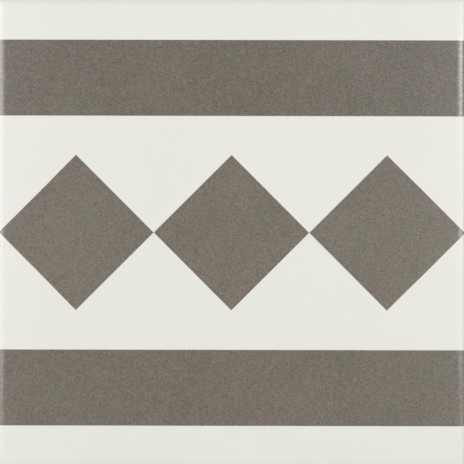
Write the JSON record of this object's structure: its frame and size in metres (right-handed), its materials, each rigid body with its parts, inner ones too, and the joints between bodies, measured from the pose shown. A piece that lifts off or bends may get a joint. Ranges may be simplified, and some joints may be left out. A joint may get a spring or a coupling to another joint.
{
  "type": "ceramic border tile",
  "caption": "Square matt ceramic border tile: grey bands and a row of diamonds on an off-white glazed face, soft rounded rim, drafted sides and a back of keying cells.",
  "frame": {"origin": "middle of the back, on the plane of the ribs that the tile rests on", "axes": "+Z out of the glazed face, +X along the printed bands, +Y across the bands towards the face's top edge in the picture"},
  "size_m": [0.2, 0.2, 0.0085],
  "materials": {
    "matt_ceramic": "matte"
  },
  "bodies": {
    "root": {"tile": "matt_ceramic"}
  },
  "joints": []
}
